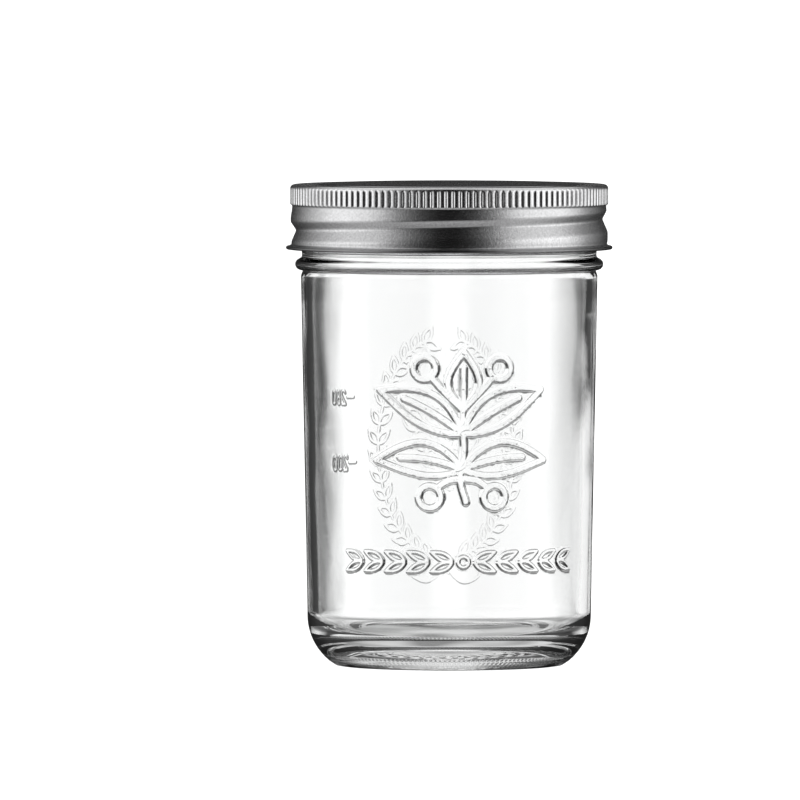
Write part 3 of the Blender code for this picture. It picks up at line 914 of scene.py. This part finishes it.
def make_world():
    """Even light for matt surfaces; a bright field with dark flags for glass; softboxes for metal."""
    world = bpy.data.worlds.new("studio")
    bpy.context.scene.world = world
    world.use_nodes = True
    world.cycles.sampling_method = "NONE"
    tree = world.node_tree
    tree.nodes.clear()
    n = Nodes(tree)
    direction = n.add("ShaderNodeTexCoord").outputs["Generated"]
    split = n.add("ShaderNodeSeparateXYZ", {0: direction})
    x, y, z = split.outputs
    # azimuth from the rear (+Y), positive towards +X, as a share of the full turn
    azimuth = n.math("ARCTAN2", x, y)
    share = n.math("ADD", n.math("MULTIPLY", azimuth, 1.0 / TURN), 0.5)
    flat = n.math("SQRT", n.math("ADD", n.math("MULTIPLY", x, x), n.math("MULTIPLY", y, y)))
    elevation = n.math("ARCTAN2", z, flat)
    height = n.math("ADD", n.math("MULTIPLY", elevation, 1.0 / math.pi), 0.5)

    # glass, near the horizon: white behind the jar as seen from each side, black flags between
    field = degrees_ramp(n, share, [
        (-180, 1.0), (-173, 1.0), (-160, 0.04), (-110, 0.04), (-97, 1.0), (-83, 1.0), (-70, 0.04),
        (-45, 0.02), (-14, 0.02), (-11.5, 0.15), (-9.5, 0.42), (-7.5, 0.80), (-5.5, 1.0),
        (3, 1.0), (5, 0.87), (10, 0.68), (12.5, 0.34), (16, 0.25), (20, 0.16), (24, 0.03), (45, 0.02),
        (70, 0.04), (83, 1.0), (97, 1.0), (110, 0.04), (160, 0.04), (173, 1.0), (180, 1.0),
    ])
    # glass, lower down: white but for a narrow grey slot every 45 degrees
    patches = n.math("ADD", n.math("MULTIPLY", n.math("COSINE", n.math("MULTIPLY", azimuth, 8.0)), 0.5), 0.5)
    low_field = n.ramp(patches, [(0.0, 0.20), (0.25, 1.0)])
    low_share = elevation_ramp(n, height, [(-13, 1.0), (-7, 0.0)])
    high_share = elevation_ramp(n, height, [(7, 0.0), (15, 1.0)])
    field_below = n.add("ShaderNodeMix", {0: low_share, 2: field, 3: low_field}).outputs[0]
    whole_field = n.add("ShaderNodeMix", {0: high_share, 2: field_below, 3: 1.0}).outputs[0]
    up = elevation_ramp(n, height, [
        (-90, 0.5), (-55, 0.75), (-30, 1.0), (2, 1.0), (5, 0.35), (10, 0.12), (17, 0.20), (24, 0.58),
        (32, 0.72), (50, 0.62), (90, 0.7),
    ])
    glass_light = n.math("MULTIPLY", n.math("MULTIPLY", whole_field, up), GLASS_LIGHT)

    # metal: a large softbox on each side, a dark room in front and behind
    boxes = degrees_ramp(n, share, [
        (-180, 0.005), (-168, 0.01), (-157, 0.05), (-146, 0.16), (-136, 0.34), (-122, 0.75), (-108, 0.92),
        (-84, 0.92), (-70, 0.60), (-52, 0.30), (-36, 0.10), (-20, 0.03),
        (20, 0.03), (30, 0.05), (46, 0.15), (60, 0.26), (72, 0.60), (86, 0.98), (106, 1.0), (120, 0.90),
        (132, 0.72), (140, 0.36), (148, 0.16), (156, 0.05), (168, 0.01), (180, 0.005),
    ])
    metal_up = elevation_ramp(n, height, [
        (-90, 0.35), (-50, 0.42), (-20, 0.68), (-8, 0.85), (0, 1.0), (12, 1.0), (30, 0.70),
        (45, 0.62), (70, 0.40), (90, 0.30),
    ])
    # and above and behind, a dim overhead light; below, a little light from the floor
    floor_glow = elevation_ramp(n, height, [(-90, 0.45), (-60, 0.30), (-40, 0.10), (-25, 0.0)])
    over_rear = degrees_ramp(n, share, [(-140, 0.0), (-105, 1.0), (105, 1.0), (140, 0.0)])
    over_up = elevation_ramp(n, height, [(28, 0.0), (42, 0.50), (60, 0.60), (90, 0.45)])
    side_light = n.math("MULTIPLY", boxes, metal_up)
    top_light = n.math("MAXIMUM", n.math("MULTIPLY", over_rear, over_up), floor_glow)
    metal_light = n.math("MULTIPLY", n.math("MAXIMUM", side_light, top_light), METAL_LIGHT)

    path = n.add("ShaderNodeLightPath")
    # a ray through glass counts as glossy too, so the bright field is mixed in last
    is_glossy, through_glass = path.outputs["Is Glossy Ray"], path.outputs["Is Transmission Ray"]
    base = n.add("ShaderNodeMix", {0: is_glossy, 2: WORLD_LIGHT, 3: metal_light})
    both = n.add("ShaderNodeMix", {0: through_glass, 2: base.outputs[0], 3: glass_light})
    white = (1.0, 1.0, 1.0, 1.0)
    background = n.add("ShaderNodeBackground", {"Color": white, "Strength": both.outputs[0]})
    output = n.add("ShaderNodeOutputWorld")
    tree.links.new(background.outputs[0], output.inputs[0])


CAMERA_DISTANCE = 5.0
CAMERA_DOWN = math.radians(2.09)
HALF_FRAME = 111.4 * MM     # half of the square frame's width, in the jar's axis plane
SENSOR = 36.0
AIM = Vector((-13.7 * MM, 0.0, 73.9 * MM))


def make_camera():
    camera = bpy.data.objects.new("camera", bpy.data.cameras.new("camera"))
    bpy.context.scene.collection.objects.link(camera)
    camera.data.sensor_width = SENSOR
    camera.data.lens = 0.5 * SENSOR * CAMERA_DISTANCE / HALF_FRAME
    camera.data.clip_end = 2.0 * FLOOR_R
    offset = Vector((0.0, -math.cos(CAMERA_DOWN), math.sin(CAMERA_DOWN))) * CAMERA_DISTANCE
    camera.location = AIM + offset
    camera.rotation_euler = (-offset).to_track_quat("-Z", "Y").to_euler()
    bpy.context.scene.camera = camera


def make_object():
    band_metal = tinplate_material("satin_tinplate", (0.84, 0.84, 0.85), (0.93, 0.93, 0.94), 0.16, 0.26,
                                   (1.0, 1.0, 60.0), band_shade_and_tone)
    # the lid's tone is painted shade: the same tinplate as the band, darkened
    lid_metal = tinplate_material("lid_tinplate", (0.46, 0.46, 0.47), (0.54, 0.54, 0.55), 0.12, 0.2,
                                  (6.0, 6.0, 6.0))
    glass = add_piece("glass_jar_fine", make_glass_mesh(), glass_material(), "jar", "glass_jar")
    glass.visible_diffuse = False     # clear glass in even light leaves no shadow on the floor
    add_piece("lid_disc_fine", make_lid_mesh(), lid_metal, "lid", "lid_disc", 50.0)
    add_piece("sealing_gasket_fine", make_gasket_mesh(), compound_material(), "lid", "sealing_gasket",
              50.0)
    add_piece("screw_band_fine", make_band_mesh(), band_metal, "band", "screw_band", 60.0)


make_object()
make_floor()
table_glow = make_glow_disc("table_glow", TABLE_R, TABLE_FULL_R, GLASS_LIGHT, sector=TABLE_SECTOR)
table_glow.location.z = TABLE_Z_OFFSET
# painted shadow: a dim, uneven glow under and around the jar that only the glass sees, standing in for the
# floor's shade there
base_shade = make_glow_disc("base_shade", SHADE_R, SHADE_FULL_R, SHADE_LIGHT, patchy=SHADE_PATCHY)
base_shade.location.z = SHADE_Z_OFFSET
make_world()
make_camera()
bpy.context.scene.view_settings.view_transform = "Standard"
